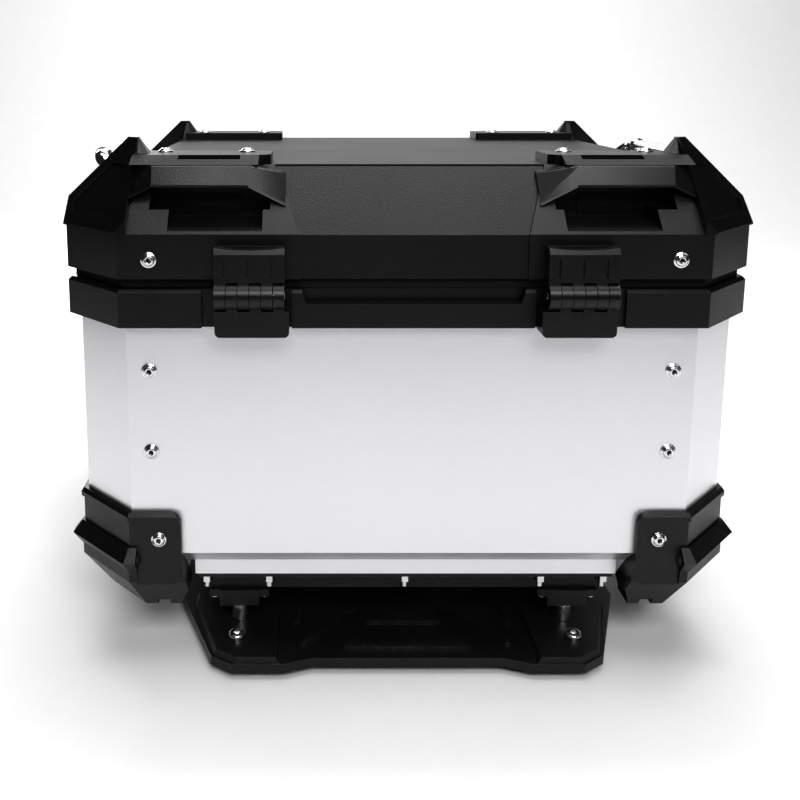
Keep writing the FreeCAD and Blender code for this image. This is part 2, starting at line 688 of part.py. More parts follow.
def handle_bar():
    """Bar that stands off the slope, with a ramp down to the seam and one to the corner."""
    front, back = -BAR_Y[1], 1 - FLANGE_Y[1]
    low, top = BAR_Z
    full = [(front, top), (front, low), (-BAR_Y[0], low), (back, low + 6), (back, top)]
    middle = taper(section_x(-BAR_X[1], full), section_x(-BAR_X[0], full))
    inner = taper(section_x(-BAR_X[0], full), section_x(-76.0, bar_end(4.0, 23.0, 0.6)))
    outer = taper(section_x(-BAR_X[1], full), section_x(-172.0, bar_end(1.5, 19.0, 2.5)))
    return fuse([middle, inner, outer])


def bar_end(high, low, proud):
    """End section of the bar, lying on the slope between two depths below the lid's top."""
    z_high, z_low = LID_TOP_Z - high, LID_TOP_Z - low
    y_high, y_low = slope_y(z_high), slope_y(z_low)
    middle = (z_high + z_low) / 2
    return [(y_high - proud, z_high), (y_low - proud, z_low), (y_low + 3, z_low),
            (slope_y(middle) + 3, middle), (y_high + 3, z_high)]


def pocket_cuts():
    """Finger room round the bar, the slot behind it and the scoop under it."""
    x_in, x_out = -POCKET_X[0], -POCKET_X[1]
    low, top = POCKET_LOW_Z, BAR_Z[0]
    room = [(x_out, low), (x_in, low), (x_in, top - 6.5), (x_in - 12, top), (x_out, top)]
    cuts = [slab_xz(room, (-180, -POCKET_BACK_Y))]
    over, under = FLANGE_TOP_Z + 3, POCKET_LOW_Z - 1
    slot = [(-SLOT_X[1], under), (-SLOT_X[1] + 4, over), (-SLOT_X[0] - 4, over), (-SLOT_X[0], under)]
    cuts.append(slab_xz(slot, (-BAR_Y[0], -POCKET_BACK_Y)))
    back = -POCKET_BACK_Y
    floor = [(-180, CREASE_Z + 0.1), (back - 8, POCKET_FLOOR_Z), (back, POCKET_FLOOR_Z)]
    floor += [(back, low + 1), (-180, low + 1)]
    cuts.append(slab_yz(floor, (-SCOOP_X[1], -SCOOP_X[0])))
    return cuts


def lid_corner():
    """Front-left corner moulding: skin over band and slopes, flange, handle and finger pocket."""
    shape = fuse([moulding_skin(), handle_flange(), handle_bar()])
    for cut in pocket_cuts() + hinge_screw_holes():
        shape = shape.cut(cut)
    shape = shape.cut(lid_envelope(SKIN, LID_TOP_Z).cut(pocket_window(0)))
    shape = shape.common(seam_slab(FLANGE_TOP_Z + 5))
    for seat, out, _ in lid_rivet_seats():
        shape = shape.cut(rod(RIVET_SHANK_R, seat - out * LID_HOLE, out, LID_HOLE + 1))
    return shape.removeSplitter()


# ---------------------------------------------------------------- upper corner guards
GUARD_NORMAL = V(-0.568, -0.568, 0.596)
GUARD_LOW_Z = CREASE_Z + 0.2
GUARD_INNER_X, GUARD_INNER_Y = -170.0, -121.0
GUARD_PROUD = 1.8           # how far it stands out past the band of the lid


def guard_plane_block(depth):
    """Everything behind the guard's outer face, moved in by a depth."""
    normal = V(GUARD_NORMAL)
    normal.normalize()
    origin = GUARD_PEAK - normal * depth
    across = V(1, -1, 0).normalize()
    up = normal.cross(across)
    size = 200.0
    signs = ((-1, -1), (1, -1), (1, 1), (-1, 1))
    corners = [origin + across * (a * size) + up * (b * size) for a, b in signs]
    return prism(corners, normal * -size)


def guard_horn():
    """Back of the guard, from its peak down to the lid's top."""
    low = [(16, -9), (16, 9), (5, 19), (-4, 19), (-11, 0), (-3, -10)]
    high = [(2, 1), (2, 4), (1, 5), (-1, 5), (-2, 2), (0, 0)]
    bottom = [V(GUARD_PEAK.x + dx, GUARD_PEAK.y + dy, LID_TOP_Z - 6) for dx, dy in low]
    top = [V(GUARD_PEAK.x + dx, GUARD_PEAK.y + dy, GUARD_PEAK.z - 0.5) for dx, dy in high]
    return taper(bottom, top)


def guard_body(shrink, depth):
    x = (-225, GUARD_INNER_X - shrink)
    y = (-185, GUARD_INNER_Y - shrink)
    body = box(x, y, (GUARD_LOW_Z + shrink, GUARD_PEAK.z)).common(guard_plane_block(depth))
    return body.common(ring_prism(shrink - GUARD_PROUD, (GUARD_LOW_Z - 1, GUARD_PEAK.z + 1)))


def corner_guard():
    """Front-left guard: a raised shield with a sunk panel, over the corner of the lid."""
    shape = guard_body(0, 0).fuse(guard_horn().common(guard_plane_block(0)))
    panel = guard_body(5.5, -1).cut(guard_plane_block(1.3))
    panel = panel.common(box((-214, 0), (-171, 0), (GUARD_LOW_Z + 6, LID_TOP_Z)))
    shape = shape.cut(panel)
    shape = shape.cut(lid_envelope(0, LID_TOP_Z)).cut(handle_flange()).cut(handle_bar())
    solids = sorted(shape.Solids, key=lambda s: s.Volume)
    return solids[-1]


# ---------------------------------------------------------------- side handles
HANDLE_Y = 69.0
HANDLE_R = 5.0
HANDLE_STANDOFF = 21.7
HANDLE_ALONG = 30.5         # foot position, up the slope from the crease


def slope_frame():
    """Foot point and outward normal on the left slope."""
    up = V(LID_SIDE_RUN, 0, LID_TOP_Z - CREASE_Z)
    up.normalize()
    normal = V(-up.z, 0, up.x)
    foot = V(-CASE_WIDTH / 2, 0, CREASE_Z) + up * HANDLE_ALONG
    return foot, normal


def handle_feet_points():
    foot, _ = slope_frame()
    return [foot + V(0, y, 0) for y in (-HANDLE_Y, HANDLE_Y)]


def side_handle():
    """Bent bar on two turned feet, left side."""
    foot, normal = slope_frame()
    bend = 12.0
    out = foot + normal * HANDLE_STANDOFF
    path = []
    low_a, low_b = foot + V(0, -HANDLE_Y, 0), foot + V(0, HANDLE_Y, 0)
    rise_a, rise_b = low_a + normal * (HANDLE_STANDOFF - bend), low_b + normal * (HANDLE_STANDOFF - bend)
    top_a, top_b = out + V(0, -HANDLE_Y + bend, 0), out + V(0, HANDLE_Y - bend, 0)
    sweep = bend * (1 - math.sqrt(0.5))
    mid_a = out + V(0, -HANDLE_Y + sweep, 0) - normal * sweep
    mid_b = out + V(0, HANDLE_Y - sweep, 0) - normal * sweep
    path.append(Part.makeLine(low_a, rise_a))
    path.append(Part.Arc(rise_a, mid_a, top_a).toShape())
    path.append(Part.makeLine(top_a, top_b))
    path.append(Part.Arc(top_b, mid_b, rise_b).toShape())
    path.append(Part.makeLine(rise_b, low_b))
    profile = Part.Wire(Part.makeCircle(HANDLE_R, low_a, normal))
    bar = Part.Wire(path).makePipeShell([profile], True, False)
    feet = []
    for y in (-HANDLE_Y, HANDLE_Y):
        base = foot + V(0, y, 0) - normal * (SKIN - 0.1)
        feet.append(rod(8.5, base, normal, 3.0 + SKIN))
        feet.append(Part.makeCone(8.5, 6.2, 3.0, base + normal * (3.0 + SKIN), normal))
        feet.append(rod(2.5, base - normal * 12.0, normal, 12.5))
    collars = []
    for sign in (-1, 1):
        collars.append(rod(6.3, out + V(0, sign * (HANDLE_Y - bend - 3), 0), Y_AXIS * -sign, 7.0))
    return fuse([bar] + feet + collars)


def handle_holes():
    _, normal = slope_frame()
    holes = []
    for point in handle_feet_points():
        hole = rod(2.6, point - normal * 15, normal, 18)
        holes += [hole, hole.mirror(V(0, 0, 0), X_AXIS)]
    return holes


def side_handle_nuts():
    _, normal = slope_frame()
    nuts = []
    for point in handle_feet_points():
        seat = point - normal * (SKIN + LID_WALL)
        nut = hexagon_rod(4.6, seat, normal * -1, 4.0).cut(rod(2.55, seat + normal, normal * -1, 8))
        nuts += [nut, nut.mirror(V(0, 0, 0), X_AXIS)]
    return Part.makeCompound(nuts)


# ---------------------------------------------------------------- hinges
def knuckle_range(x, index, trim):
    step = HINGE_WIDTH / KNUCKLES
    start = x - HINGE_WIDTH / 2 + index * step
    return start + trim, start + step - trim


def knuckles(x, first):
    """Every second knuckle, with the arm that joins it to its leaf."""
    reach = 12.0
    shapes = []
    for index in range(first, KNUCKLES, 2):
        a, b = knuckle_range(x, index, 0.15)
        shapes.append(rod(KNUCKLE_R, V(a, HINGE_Y, HINGE_Z), X_AXIS, b - a))
        z = (HINGE_Z, HINGE_Z + reach) if first == 0 else (HINGE_Z - reach, HINGE_Z)
        shapes.append(box((a, b), (LEAF_FRONT_Y, HINGE_Y + 6), z))
    return shapes


def knuckle_reliefs(x, first):
    shapes = []
    for index in range(first, KNUCKLES, 2):
        a, b = knuckle_range(x, index, -0.15)
        shapes.append(rod(KNUCKLE_R + 0.4, V(a, HINGE_Y, HINGE_Z), X_AXIS, b - a))
    return shapes


def finished_hinge(leaf, x, own, other):
    shape = fuse([leaf] + knuckles(x, own))
    for relief in knuckle_reliefs(x, other):
        shape = shape.cut(relief)
    return shape.cut(rod(PIN_R + PIN_FIT, V(x - 30, HINGE_Y, HINGE_Z), X_AXIS, 60))


def hinge_upper(x):
    """Leaf on the lid: dished top edge and three grooves."""
    front, back = LEAF_FRONT_Y, -CASE_DEPTH / 2
    half, low, top = HINGE_WIDTH / 2, HINGE_Z + KNUCKLE_R + 0.3, HINGE_LEAF_TOP_Z
    outline = [(front, low), (back, low), (back, top), (front + 3.0, top), (front, top - 3.5)]
    leaf = slab_yz(outline, (x - half, x + half))
    dish = rod(150.0, V(x, front - 1, top + 150.0 - 1.4), Y_AXIS, 8)
    leaf = leaf.cut(dish)
    for offset in (-14.8, -0.9, 12.8):
        groove = (x + offset - 0.9, x + offset + 0.9)
        leaf = leaf.cut(box(groove, (front - 1, front + 1.2), (low + 2.6, low + 13.8)))
    leaf = leaf.cut(box((x - half - 1, x + half + 1), (back - 0.02, back + 5), (low - 1, LID_LOW_Z)))
    shape = finished_hinge(leaf, x, 0, 1)
    for hole in hinge_screw_holes():
        shape = shape.cut(hole)
    return shape.removeSplitter()


def hinge_lower(x):
    """Leaf on the rim frame, reaching a little below it."""
    front, back = LEAF_FRONT_Y + 0.5, -CASE_DEPTH / 2 + 3.0
    half, low, top = HINGE_WIDTH / 2, HINGE_LEAF_LOW_Z, HINGE_Z - KNUCKLE_R - 0.3
    outward = 1 if x > 0 else -1
    leaf = box((x + outward * half, x - outward * (half + 2.5)), (front, back), (low, top))
    upright = [edge for edge in leaf.Edges if abs(edge.tangentAt(edge.FirstParameter).y) > 0.9]
    low_edges = [edge for edge in upright if edge.BoundBox.ZMax < low + 1]
    leaf = leaf.makeFillet(3.0, low_edges)
    shape = finished_hinge(leaf, x, 1, 0)
    for hole in hinge_screw_holes():
        shape = shape.cut(hole)
    return shape.removeSplitter()


def hinge_pin(x):
    return rod(PIN_R, V(x - HINGE_WIDTH / 2, HINGE_Y, HINGE_Z), X_AXIS, HINGE_WIDTH)


HINGE_SCREW_X = 11.0
LID_SCREW_Z, RIM_SCREW_Z = LID_LOW_Z + 12, RIM_LOW_Z + 9.6


def hinge_screw_seats(lid):
    """Screw heads inside the case, pointing inwards."""
    z = LID_SCREW_Z if lid else RIM_SCREW_Z
    y = -CASE_DEPTH / 2 + (SKIN + LID_WALL if lid else RIM_WIDTH)
    return [V(x + offset, y, z) for x in (-HINGE_X, HINGE_X) for offset in (-HINGE_SCREW_X, HINGE_SCREW_X)]


def hinge_screw_length(lid):
    return (SKIN + LID_WALL if lid else RIM_WIDTH) + (7.0 if lid else 3.0)


def hinge_screw_holes():
    holes = []
    for lid in (True, False):
        length = hinge_screw_length(lid)
        holes += [rod(2.0, seat - Y_AXIS * length, Y_AXIS, length + 0.5) for seat in hinge_screw_seats(lid)]
    return holes


def hinge_screws(lid):
    length = hinge_screw_length(lid)
    seats = hinge_screw_seats(lid)
    return Part.makeCompound([screw(seat, Y_AXIS, 3.8, 2.2, 2.0, length) for seat in seats])


# ---------------------------------------------------------------- locks
STRIKER_X = (5.5, 14.5)
LOCK_SCREW_X, LOCK_SCREW_Z = 24.0, LOCK_Z + 6
HOUSING_LOW_Z, HOUSING_TOP_Z = LOCK_Z - 20, LOCK_Z + 20


def lock_housing():
    """Lock body on the middle of the rim's rear face."""
    back, front = CASE_DEPTH / 2, FRONT_REACH - 1.3
    shape = box((-30, 30), (back, front), (HOUSING_LOW_Z, HOUSING_TOP_Z))
    shape = shape.fuse(box((-30, 30), (back - WALL_INSET, back), (HOUSING_LOW_Z, RIM_LOW_Z)))
    along_y = [e for e in shape.Edges if abs(e.tangentAt(e.FirstParameter).y) > 0.9]
    edges = [e for e in along_y if e.BoundBox.YMax > front - 0.1]
    shape = shape.makeFillet(6.0, [e for e in edges if e.Length > 10])
    shape = shape.cut(box((-18, 18), (back + 1, front - 4.5), (HOUSING_LOW_Z + 4, HOUSING_TOP_Z + 4)))
    shape = shape.cut(rod(LOCK_R + LOCK_FIT, V(0, front - 6, LOCK_Z), Y_AXIS, 8))
    for hole in lock_screw_holes():
        shape = shape.cut(hole)
    return shape.removeSplitter()


def lock_screw_seats():
    return [V(x, CASE_DEPTH / 2 - RIM_WIDTH, LOCK_SCREW_Z) for x in (-LOCK_SCREW_X, LOCK_SCREW_X)]


def lock_screw_holes():
    return [rod(2.0, seat - Y_AXIS, Y_AXIS, RIM_WIDTH + 6.2) for seat in lock_screw_seats()]


def lock_screws():
    length = RIM_WIDTH + 5.0
    inward = V(0, -1, 0)
    return Part.makeCompound([screw(seat, inward, 3.8, 2.2, 2.0, length) for seat in lock_screw_seats()])


def key_cylinder(z, back, front):
    """Lock barrel with a keyway, on a shaft that carries the cam."""
    barrel = rod(LOCK_R, V(0, front - 7.0, z), Y_AXIS, 7.0)
    flange = rod(LOCK_R + 1.5, V(0, front - 1.1, z), Y_AXIS, 0.8)
    shaft = rod(3.0, V(0, back, z), Y_AXIS, front - 7.0 - back)
    keyway = box((-1.0, 1.0), (front - 4, front + 1), (z - 4, z + 4))
    return fuse([barrel, flange, shaft]).cut(keyway)


def cam(z, y, direction, length):
    """Flat cam arm with a round hub, clamped on the lock's shaft."""
    hub = rod(5.5, V(0, min(y), z), Y_AXIS, abs(y[1] - y[0]))
    end = V(0, 0, z) + direction * length
    across = Y_AXIS.cross(direction) * 3.0
    start = V(0, min(y), z)
    tip = V(end.x, min(y), end.z)
    arm = prism([start + across, tip + across, tip - across, start - across], V(0, abs(y[1] - y[0]), 0))
    return hub.fuse(arm).cut(rod(3.0, V(0, min(y) - 1, z), Y_AXIS, 10))


def striker():
    """Plate on the lid that hangs into the lock, with a ledge for the cam."""
    low, high = LOCK_Z - 8, CREASE_Z - 4
    foot = box(STRIKER_X, (CASE_DEPTH / 2 - SKIN, 178.0), (LID_LOW_Z + 2, high))
    plate = box(STRIKER_X, (176.2, 178.0), (low, high))
    ledge = box((STRIKER_X[0] + 1, STRIKER_X[1]), (178.0, 183.5), (low, low + 3))
    return fuse([foot, plate, ledge])


def lock_cover():
    """Moulded cap over the striker on the lid's rear band."""
    back, front = CASE_DEPTH / 2 - SKIN, FRONT_REACH - 1.3
    top = CREASE_Z - 2.5
    cap = box((-30, 30), (back, front), (LID_LOW_Z, top))
    along_y = [e for e in cap.Edges if abs(e.tangentAt(e.FirstParameter).y) > 0.9]
    edges = [e for e in along_y if e.BoundBox.ZMin > top - 1]
    cap = cap.makeFillet(6.0, edges)
    pocket = box(STRIKER_X, (back - 1, 178.0), (LID_LOW_Z - 1, CREASE_Z - 4))
    return cap.cut(pocket)


def dock_lock_housing():
    """Lock body under the rear of the case."""
    shape = box((-24, 24), (118.5, 152.5), (31, TRAY_Z))
    along_y = [e for e in shape.Edges if abs(e.tangentAt(e.FirstParameter).y) > 0.9]
    upright = [e for e in along_y if e.BoundBox.ZMax < 32]
    shape = shape.makeFillet(4.0, upright)
    shape = shape.cut(rod(4.0, V(0, 117, DOCK_LOCK_Z), Y_AXIS, 30))
    return shape.cut(rod(LOCK_R + LOCK_FIT, V(0, 144.9, DOCK_LOCK_Z), Y_AXIS, 8))


# ---------------------------------------------------------------- build
def build():
    parts = {
        "body_shell": body_shell(),
        "body_rim": body_rim(),
        "lid_seal": lid_seal(),
        "body_rivets": body_rivets(),
        "protector_rivets": protector_rivets(),
        "dock_plate": dock_plate(),
        "dock_plate_bolts": dock_bolts(),
        "base_plate": base_plate(),
        "rack_clamp_bolts": clamp_bolts(),
        "dock_keeper": dock_keeper(),
        "lid_shell": lid_shell(),
        "lid_top_panel": lid_top_panel(),
        "lid_handle_rivets": lid_rivets(True),
        "lid_band_rivets": lid_rivets(False),
        "side_handle_nuts": side_handle_nuts(),
        "hinge_lid_screws": hinge_screws(True),
        "hinge_rim_screws": hinge_screws(False),
        "lock_housing": lock_housing(),
        "lock_screws": lock_screws(),
        "lock_cover": lock_cover(),
        "lock_striker": striker(),
        "lid_lock_cylinder": key_cylinder(LOCK_Z, 179.0, FRONT_REACH),
        "lid_lock_cam": cam(LOCK_Z, (179.4, 182.2), Z_AXIS, 14.0),
        "dock_lock_housing": dock_lock_housing(),
        "dock_lock_cylinder": key_cylinder(DOCK_LOCK_Z, 106.0, 154.0),
        "dock_lock_cam": cam(DOCK_LOCK_Z, (106.5, 109.5), V(1, 0, 0), 13.5),
    }
    moulding, guard = lid_corner(), corner_guard()
    protector, stiffener = corner_protector(), corner_stiffener()
    studs, screws = [], []
    for end_name, end in ENDS.items():
        for side_name, side in SIDES.items():
            place = end_name + "_" + side_name
            parts["lid_corner_" + place] = mirrored(moulding, side, end)
            parts["corner_guard_" + place] = mirrored(guard, side, end)
            parts["corner_protector_" + place] = mirrored(protector, side, end)
            parts["corner_stiffener_" + place] = mirrored(stiffener, side, end)
            parts["rack_clamp_" + place] = mirrored(rack_clamp(end), side, -1)
            y = STUD_Y[0] if end < 0 else STUD_Y[1]
            parts["docking_block_" + place] = docking_block(side * STUD_X, y)
            studs.append(docking_stud(side * STUD_X, y))
            screws += block_screws(side * STUD_X, y)
    parts["docking_studs"] = Part.makeCompound(studs)
    parts["docking_block_screws"] = Part.makeCompound(screws)
    handle = side_handle()
    for side_name, side in SIDES.items():
        parts["side_handle_" + side_name] = mirrored(handle, side, -1)
        parts["hinge_upper_" + side_name] = hinge_upper(side * HINGE_X)
        parts["hinge_lower_" + side_name] = hinge_lower(side * HINGE_X)
        parts["hinge_pin_" + side_name] = hinge_pin(side * HINGE_X)
    return parts


os.makedirs("parts", exist_ok=True)
for part_name, part_shape in build().items():
    export(part_name, part_shape)
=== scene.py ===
"""Looks of the aluminium motorcycle top case: materials, edge rounding, lights and camera.

Metres, +Z up. The hinges face the camera on the -Y side.
"""
import json
import math

import bpy
from mathutils import Euler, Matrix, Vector


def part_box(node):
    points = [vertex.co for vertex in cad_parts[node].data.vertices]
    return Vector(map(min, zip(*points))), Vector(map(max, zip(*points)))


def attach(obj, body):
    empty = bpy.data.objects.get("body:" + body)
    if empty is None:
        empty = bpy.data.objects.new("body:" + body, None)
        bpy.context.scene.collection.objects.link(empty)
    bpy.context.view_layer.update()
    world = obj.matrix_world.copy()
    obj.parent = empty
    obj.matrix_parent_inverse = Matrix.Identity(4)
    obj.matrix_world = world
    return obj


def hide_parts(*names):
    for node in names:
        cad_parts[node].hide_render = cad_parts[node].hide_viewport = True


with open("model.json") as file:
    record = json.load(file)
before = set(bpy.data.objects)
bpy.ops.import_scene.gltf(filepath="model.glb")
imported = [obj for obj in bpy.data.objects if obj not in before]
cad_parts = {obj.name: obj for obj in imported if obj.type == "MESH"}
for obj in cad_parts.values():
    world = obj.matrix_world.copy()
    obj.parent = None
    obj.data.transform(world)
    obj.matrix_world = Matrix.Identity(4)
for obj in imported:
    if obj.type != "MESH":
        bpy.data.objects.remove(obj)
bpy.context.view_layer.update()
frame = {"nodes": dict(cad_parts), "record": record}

MM = 0.001
SLOT_OF = {part["node"]: part["material_slot"] for part in frame["record"]["subparts"]}


# ---------------------------------------------------------------- material building blocks
class Finish:
    """One material with its node tree; every texture is laid out in the shared frame, in metres."""

    GROOVE = 0.75       # distance from the middle of a pebble to the bottom of its groove, in cells
    OPEN_FACE = 0.98    # cosine between the plain and the rounded normal, well away from an edge
    FULL_EDGE = 0.75    # the same, on an edge

    def __init__(self, name, metallic=0.0, specular=0.5):
        self.material = bpy.data.materials.new(name)
        self.material.use_nodes = True
        self.tree = self.material.node_tree
        self.tree.nodes.clear()
        self.output = self.tree.nodes.new("ShaderNodeOutputMaterial")
        self.shader = self.tree.nodes.new("ShaderNodeBsdfPrincipled")
        self.link(self.shader.outputs["BSDF"], self.output.inputs["Surface"])
        self.shader.inputs["Metallic"].default_value = metallic
        self.shader.inputs["Specular IOR Level"].default_value = specular
        self.place = self.tree.nodes.new("ShaderNodeTexCoord").outputs["Object"]

    def link(self, source, target):
        self.tree.links.new(source, target)

    def stretched(self, scale):
        """The shared frame, scaled along each axis."""
        node = self.tree.nodes.new("ShaderNodeMapping")
        node.inputs["Scale"].default_value = scale
        self.link(self.place, node.inputs["Vector"])
        return node.outputs["Vector"]

    def noise(self, scale, detail=3.0, roughness=0.55, stretch=None):
        """Cloudy pattern between 0 and 1, drawn out into lines where it is stretched."""
        node = self.tree.nodes.new("ShaderNodeTexNoise")
        node.inputs["Scale"].default_value = scale
        node.inputs["Detail"].default_value = detail
        node.inputs["Roughness"].default_value = roughness
        self.link(self.stretched(stretch) if stretch else self.place, node.inputs["Vector"])
        return node.outputs["Fac"]

    def pebbles(self, scale):
        """Rounded cells with grooves between them, as on grained plastic."""
        node = self.tree.nodes.new("ShaderNodeTexVoronoi")
        node.feature = "SMOOTH_F1"
        node.inputs["Scale"].default_value = scale
        node.inputs["Smoothness"].default_value = 0.6
        self.link(self.place, node.inputs["Vector"])
        return self.span(node.outputs["Distance"], (0.0, self.GROOVE), (1.0, 0.0))

    def span(self, value, source, target):
        """Maps the range `source` of a value to the range `target`, clamped at both ends."""
        node = self.tree.nodes.new("ShaderNodeMapRange")
        for key, number in zip(("From Min", "From Max", "To Min", "To Max"), source + target):
            node.inputs[key].default_value = number
        self.link(value, node.inputs["Value"])
        return node.outputs["Result"]

    def maths(self, operation, first, second):
        """One arithmetic step on two values, each a socket or a number."""
        node = self.tree.nodes.new("ShaderNodeMath")
        node.operation = operation
        for socket, value in zip(node.inputs, (first, second)):
            if isinstance(value, (int, float)):
                socket.default_value = value
            else:
                self.link(value, socket)
        return node.outputs[0]

    def blend(self, factor, low, high):
        """Colour between two values."""
        node = self.tree.nodes.new("ShaderNodeMix")
        node.data_type = "RGBA"
        self.link(factor, node.inputs["Factor"])
        for name, value in (("A", low), ("B", high)):
            socket = [s for s in node.inputs if s.name == name and s.type == "RGBA"][0]
            if isinstance(value, tuple):
                socket.default_value = (*value, 1.0)
            else:
                self.link(value, socket)
        return [s for s in node.outputs if s.type == "RGBA"][0]

    def edges(self, radius):
        """1 along convex and concave edges, 0 on open faces."""
        bevel = self.tree.nodes.new("ShaderNodeBevel")
        bevel.samples = 4
        bevel.inputs["Radius"].default_value = radius
        geometry = self.tree.nodes.new("ShaderNodeNewGeometry")
        dot = self.tree.nodes.new("ShaderNodeVectorMath")
        dot.operation = "DOT_PRODUCT"
        self.link(bevel.outputs["Normal"], dot.inputs[0])
        self.link(geometry.outputs["Normal"], dot.inputs[1])
        return self.span(dot.outputs["Value"], (self.OPEN_FACE, self.FULL_EDGE), (0.0, 1.0))

    def bump(self, height, distance):
        """Normal of a surface that a pattern raises by up to a distance."""
        node = self.tree.nodes.new("ShaderNodeBump")
        node.inputs["Distance"].default_value = distance
        node.inputs["Strength"].default_value = 1.0
        self.link(height, node.inputs["Height"])
        return node.outputs["Normal"]

    def finish(self, colour, roughness, normal):
        """The material, once its three patterns are linked to the shader."""
        self.link(colour, self.shader.inputs["Base Color"])
        self.link(roughness, self.shader.inputs["Roughness"])
        self.link(normal, self.shader.inputs["Normal"])
        return self.material


def grey(value):
    """Nearly neutral colour, a touch towards blue."""
    return (value, value, value * 1.02)


def moulded_plastic(name, tone, grain, depth, roughness, specular):
    """Black moulded plastic with a pebble grain, and edges painted lighter: partly rubbed wear, partly
    a painted highlight.
    """
    f = Finish(name, specular=specular)
    patches = f.noise(14.0, 3.0)
    cells = f.pebbles(grain)
    # Edge mask: rubbed wear together with a painted highlight along the edges.
    rub_and_highlight = f.maths("MULTIPLY", f.edges(1.0 * MM), f.span(f.noise(180.0, 4.0), (0.35, 0.65), (0.15, 0.8)))
    base = f.blend(patches, grey(tone * 0.85), grey(tone * 1.2))
    # Edges painted five times lighter than the plastic: partly wear, partly a painted highlight.
    colour = f.blend(rub_and_highlight, base, grey(tone * 5.0))
    rough = f.maths("ADD", f.span(patches, (0.3, 0.7), (roughness - 0.04, roughness + 0.05)),
                    f.span(cells, (0.0, 1.0), (0.06, -0.04)))
    return f.finish(colour, rough, f.bump(cells, depth))


def brushed_metal(name, tone, spread, roughness, stretch, scratches, metallic=1.0):
    """Metal with fine lines along one direction."""
    f = Finish(name, metallic=metallic, specular=0.3)
    lines = f.noise(1.0, 2.0, 0.5, stretch)
    cloud = f.noise(9.0, 2.0)
    mix = f.maths("ADD", f.maths("MULTIPLY", lines, 0.6), f.maths("MULTIPLY", cloud, 0.4))
    base = f.blend(f.span(mix, (0.3, 0.7), (0.0, 1.0)), grey(tone - spread), grey(tone + spread))
    worn = f.maths("MULTIPLY", f.edges(0.8 * MM), 0.5)
    colour = f.blend(worn, base, grey(min(tone * 1.25, 0.95)))
    rough = f.span(mix, (0.3, 0.7), (roughness - 0.05, roughness + 0.06))
    return f.finish(colour, rough, f.bump(lines, scratches))


def powder_coat(name):
    """Black paint with a faint orange peel, its edges painted lighter: partly chips, partly a painted
    highlight.
    """
    f = Finish(name, specular=0.4)
    peel = f.noise(650.0, 3.0)
    dust = f.noise(24.0, 4.0)
    # Edge mask: chips in the paint together with a painted highlight on the edges and bead tops.
    chips_and_highlight = f.maths("MULTIPLY", f.edges(0.9 * MM), f.span(f.noise(240.0, 5.0), (0.5, 0.6), (0.0, 0.7)))
    colour = f.blend(chips_and_highlight, f.blend(dust, grey(0.010), grey(0.020)), grey(0.10))
    rough = f.span(dust, (0.3, 0.7), (0.30, 0.42))
    return f.finish(colour, rough, f.bump(peel, 0.05 * MM))


def rubber(name, tone):
    """Dull rubber with dust on it."""
    f = Finish(name, specular=0.25)
    grain = f.noise(900.0, 3.0)
    dust = f.noise(30.0, 4.0)
    colour = f.blend(dust, grey(tone * 0.8), grey(tone * 1.5))
    rough = f.span(dust, (0.3, 0.7), (0.68, 0.82))
    return f.finish(colour, rough, f.bump(grain, 0.04 * MM))


def polished(name, tone, roughness, smear):
    """Bright turned or plated metal with faint handling marks."""
    f = Finish(name, metallic=1.0)
    marks = f.noise(60.0, 5.0)
    fine = f.noise(1200.0, 2.0)
    colour = f.blend(marks, grey(tone * 0.88), grey(tone))
    rough = f.span(marks, (0.35, 0.65), (roughness, roughness + smear))
    return f.finish(colour, rough, f.bump(fine, 0.006 * MM))


# One finish for each material slot of the record: how it is made, and the numbers that it takes.
RECIPES = {
    "satin_aluminium": (brushed_metal, 0.78, 0.02, 0.36, (60.0, 60.0, 2600.0), 0.004 * MM, 0.8),
    "inner_aluminium": (brushed_metal, 0.62, 0.05, 0.48, (40.0, 40.0, 1500.0), 0.01 * MM),
    "rim_plastic": (moulded_plastic, 0.006, 1500.0, 0.05 * MM, 0.36, 0.50),
    "seal_rubber": (rubber, 0.010),
    "stainless": (polished, 0.78, 0.16, 0.14),
    "black_steel": (powder_coat,),
    "foot_rubber": (rubber, 0.012),
    "lid_textured": (moulded_plastic, 0.008, 1100.0, 0.12 * MM, 0.38, 0.42),
    "lid_brushed": (brushed_metal, 0.016, 0.006, 0.42, (8.0, 1600.0, 8.0), 0.03 * MM, 0.1),
    "corner_plastic": (moulded_plastic, 0.007, 1500.0, 0.06 * MM, 0.36, 0.50),
    "guard_plastic": (moulded_plastic, 0.005, 1700.0, 0.04 * MM, 0.32, 0.50),
    "chrome": (polished, 0.86, 0.06, 0.10),
    "hinge_plastic": (moulded_plastic, 0.007, 1600.0, 0.04 * MM, 0.30, 0.55),
    "zinc_steel": (polished, 0.55, 0.30, 0.18),
}
MATERIALS = {slot: make(slot, *numbers) for slot, (make, *numbers) in RECIPES.items()}


# ---------------------------------------------------------------- rounding of the CAD nodes
WELD_GAP = 0.004 * MM           # vertices closer than this are one
FLAT_ANGLE = math.radians(0.6)  # neighbouring faces within this angle are one flat face
SHARP_ANGLE = math.radians(28)  # edges sharper than this are rounded
EDGE_WIDTH = {                  # width of the rounding for each slot, in millimetres
    "satin_aluminium": 0.8, "inner_aluminium": 0.4, "rim_plastic": 1.0, "seal_rubber": 0.8,
    "stainless": 0.15, "black_steel": 0.5, "foot_rubber": 0.6, "lid_textured": 1.0,
    "lid_brushed": 0.3, "corner_plastic": 1.1, "guard_plastic": 1.6, "chrome": 0.3,
    "hinge_plastic": 0.6, "zinc_steel": 0.3,
}


